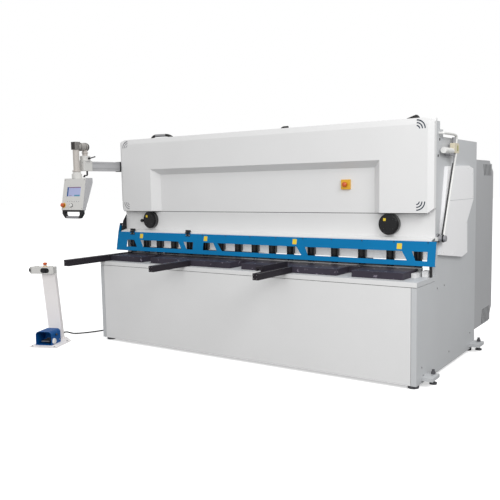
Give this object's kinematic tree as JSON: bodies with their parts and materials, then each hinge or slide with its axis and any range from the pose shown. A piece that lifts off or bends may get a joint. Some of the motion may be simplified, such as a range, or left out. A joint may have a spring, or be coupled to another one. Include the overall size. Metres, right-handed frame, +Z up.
{
  "type": "hydraulic swing beam shear",
  "caption": "Hydraulic swing beam shear for sheet metal, with finger guard, slotted support arms, back gauge, swivelling control pendant and a foot switch pedestal on a cord.",
  "frame": {"origin": "centre of the four anchor bolt holes, at floor level", "axes": "+X along the cutting line to the operator's right, +Y from the front to the rear, +Z up"},
  "size_m": [4.2085, 2.845, 2.205],
  "materials": {
    "frame_paint": "satin grey paint",
    "cover_paint": "off-white powder coat",
    "pendant_paint": "light grey powder coat",
    "guard_blue": "blue powder coat",
    "foot_blue": "blue paint",
    "table_paint": "black burnished finish",
    "motor_paint": "grey paint",
    "black_steel": "black oxide",
    "dark_steel": "dark",
    "blade_steel": "ground",
    "sheet_steel": "plain",
    "ram_chrome": "polished",
    "bush_bronze": "turned",
    "arm_aluminium": "anodised",
    "elbow_aluminium": "painted casting",
    "black_plastic": "matt",
    "selector_plastic": "gloss",
    "stop_red": "gloss",
    "hose_rubber": "matt"
  },
  "bodies": {
    "root": {"base_front_panel": "cover_paint", "beam_cylinders": "black_steel", "bed": "frame_paint", "cord_glands": "black_plastic", "crossbeams": "frame_paint", "electrical_cabinet": "frame_paint", "foot_guard": "foot_blue", "front_panel": "cover_paint", "gap_drive": "cover_paint", "guard_hinges": "black_steel", "guard_main": "guard_blue", "head_cover": "cover_paint", "hold_down_beam": "frame_paint", "hold_down_cylinders": "black_steel", "left_rear_enclosure": "frame_paint", "left_side_frame": "frame_paint", "levelling_feet": "dark_steel", "lower_blade": "blade_steel", "oil_tank": "frame_paint", "pedestal_console": "pendant_paint", "pedestal_cord": "hose_rubber", "pedestal_stand": "cover_paint", "pendant_arm": "arm_aluminium", "pendant_bracket": "black_steel", "pivot_shafts": "blade_steel", "pump_motor": "motor_paint", "right_side_frame": "frame_paint", "round_caps": "black_plastic", "scrap_chute": "sheet_steel", "side_covers": "cover_paint", "squaring_arm": "table_paint", "support_arms": "table_paint", "table_top": "table_paint", "top_hoses": "hose_rubber"},
    "swing_beam": {"swing_beam": "frame_paint", "upper_blade": "blade_steel", "pivot_bushes": "bush_bronze", "gauge_guides": "sheet_steel"},
    "press_rams": {"press_rams": "ram_chrome"},
    "return_rams": {"return_rams": "ram_chrome"},
    "hold_downs": {"hold_down_plungers": "black_steel"},
    "back_gauge": {"back_gauge": "sheet_steel"},
    "left_screw": {"left_gauge_screw": "blade_steel"},
    "right_screw": {"right_gauge_screw": "blade_steel"},
    "guard_flap": {"guard_flap": "guard_blue"},
    "pendant_elbow": {"pendant_elbow": "elbow_aluminium"},
    "pendant_box": {"pendant_box": "pendant_paint", "pendant_handle": "black_plastic"},
    "pendant_estop": {"pendant_estop": "stop_red"},
    "pendant_selector": {"pendant_selector": "selector_plastic"},
    "collar_lever": {"collar_lever": "black_plastic"},
    "arm_lever": {"arm_lever": "black_plastic"},
    "panel_estop": {"panel_estop": "stop_red"},
    "pedestal_estop": {"pedestal_estop": "stop_red"},
    "left_palm_button": {"left_palm_button": "black_plastic"},
    "right_palm_button": {"right_palm_button": "black_plastic"},
    "foot_pedal": {"foot_pedal": "motor_paint"},
    "cabinet_door": {"cabinet_door": "frame_paint"},
    "door_handle": {"door_handle": "black_plastic"},
    "flip_stop": {"flip_stop": "table_paint"}
  },
  "joints": [
    {"name": "beam_swing", "type": "hinge", "parent": "root", "child": "swing_beam", "pos_m": [0, 0.56, 0.905], "axis": [1, 0, 0], "range_deg": [0, 7], "stiffness_Nm_per_rad": 40000, "springref_deg": -28.65},
    {"name": "press_ram_slide", "type": "slide", "parent": "root", "child": "press_rams", "axis": [0, 0, -1], "range_m": [0, 0.0935]},
    {"name": "return_ram_slide", "type": "slide", "parent": "root", "child": "return_rams", "axis": [0, 0, -1], "range_m": [0, 0.0745]},
    {"name": "hold_down_slide", "type": "slide", "parent": "root", "child": "hold_downs", "axis": [0, 0, -1], "range_m": [0, 0.0125], "stiffness_N_per_m": 20000, "springref_m": -0.02},
    {"name": "gauge_slide", "type": "slide", "parent": "swing_beam", "child": "back_gauge", "axis": [0, 1, 0], "range_m": [-0.2, 0.45]},
    {"name": "left_screw_turn", "type": "hinge", "parent": "swing_beam", "child": "left_screw", "pos_m": [-0.9, 0, 1.03], "axis": [0, 1, 0], "range_deg": [-4000, 8200]},
    {"name": "right_screw_turn", "type": "hinge", "parent": "swing_beam", "child": "right_screw", "pos_m": [0.9, 0, 1.03], "axis": [0, 1, 0], "range_deg": [-4000, 8200]},
    {"name": "guard_flap_hinge", "type": "hinge", "parent": "root", "child": "guard_flap", "pos_m": [-1.2, -0.526, 1.152], "axis": [-1, 0, 0], "range_deg": [0, 110]},
    {"name": "elbow_swivel", "type": "hinge", "parent": "root", "child": "pendant_elbow", "pos_m": [-1.8, -0.944, 1.958], "axis": [0, 0, 1], "range_deg": [-110, 110]},
    {"name": "box_swivel", "type": "hinge", "parent": "pendant_elbow", "child": "pendant_box", "pos_m": [-1.8, -1.063, 1.78], "axis": [0, 0, 1], "range_deg": [-150, 150]},
    {"name": "pendant_estop_press", "type": "slide", "parent": "pendant_box", "child": "pendant_estop", "axis": [0, 0.983, -0.1837], "range_m": [0, 0.004], "stiffness_N_per_m": 800, "springref_m": -0.003},
    {"name": "selector_turn", "type": "hinge", "parent": "pendant_box", "child": "pendant_selector", "pos_m": [-1.79, -1.1614, 1.452], "axis": [0, -0.983, 0.1837], "range_deg": [-45, 45]},
    {"name": "collar_lever_turn", "type": "hinge", "parent": "root", "child": "collar_lever", "pos_m": [-1.74, -0.944, 1.932], "axis": [1, 0, 0], "range_deg": [-60, 60]},
    {"name": "arm_lever_turn", "type": "hinge", "parent": "root", "child": "arm_lever", "pos_m": [-1.8, -0.924, 1.78], "axis": [0, 0, 1], "range_deg": [-80, 80]},
    {"name": "panel_estop_press", "type": "slide", "parent": "root", "child": "panel_estop", "axis": [0, 1, 0], "range_m": [0, 0.004], "stiffness_N_per_m": 800, "springref_m": -0.003},
    {"name": "pedestal_estop_press", "type": "slide", "parent": "root", "child": "pedestal_estop", "axis": [0, 0, -1], "range_m": [0, 0.004], "stiffness_N_per_m": 800, "springref_m": -0.004},
    {"name": "left_palm_button_press", "type": "slide", "parent": "root", "child": "left_palm_button", "axis": [0.9272, 0.3746, 0], "range_m": [0, 0.004], "stiffness_N_per_m": 800, "springref_m": -0.003},
    {"name": "right_palm_button_press", "type": "slide", "parent": "root", "child": "right_palm_button", "axis": [-0.3746, 0.9272, 0], "range_m": [0, 0.004], "stiffness_N_per_m": 800, "springref_m": -0.003},
    {"name": "pedal_press", "type": "hinge", "parent": "root", "child": "foot_pedal", "pos_m": [-2.12224, -1.22514, 0.04], "axis": [0.9272, 0.3746, 0], "range_deg": [0, 9], "stiffness_Nm_per_rad": 12, "springref_deg": -17.19},
    {"name": "door_hinge", "type": "hinge", "parent": "root", "child": "cabinet_door", "pos_m": [1.389, 1.323, 1.02], "axis": [0, 0, 1], "range_deg": [0, 120]},
    {"name": "handle_turn", "type": "hinge", "parent": "cabinet_door", "child": "door_handle", "pos_m": [1.705, 1.325, 1.02], "axis": [0, 1, 0], "range_deg": [0, 90]},
    {"name": "flip_stop_hinge", "type": "hinge", "parent": "root", "child": "flip_stop", "pos_m": [0.512, -1.145, 0.935], "axis": [0, 1, 0], "range_deg": [0, 100]}
  ],
  "couplings": [
    {"joint": "press_ram_slide", "follows": "beam_swing", "m_per_rad": 0.7553},
    {"joint": "return_ram_slide", "follows": "beam_swing", "m_per_rad": 0.6},
    {"joint": "left_screw_turn", "follows": "gauge_slide", "rad_per_m": 314.16},
    {"joint": "right_screw_turn", "follows": "gauge_slide", "rad_per_m": 314.16}
  ]
}
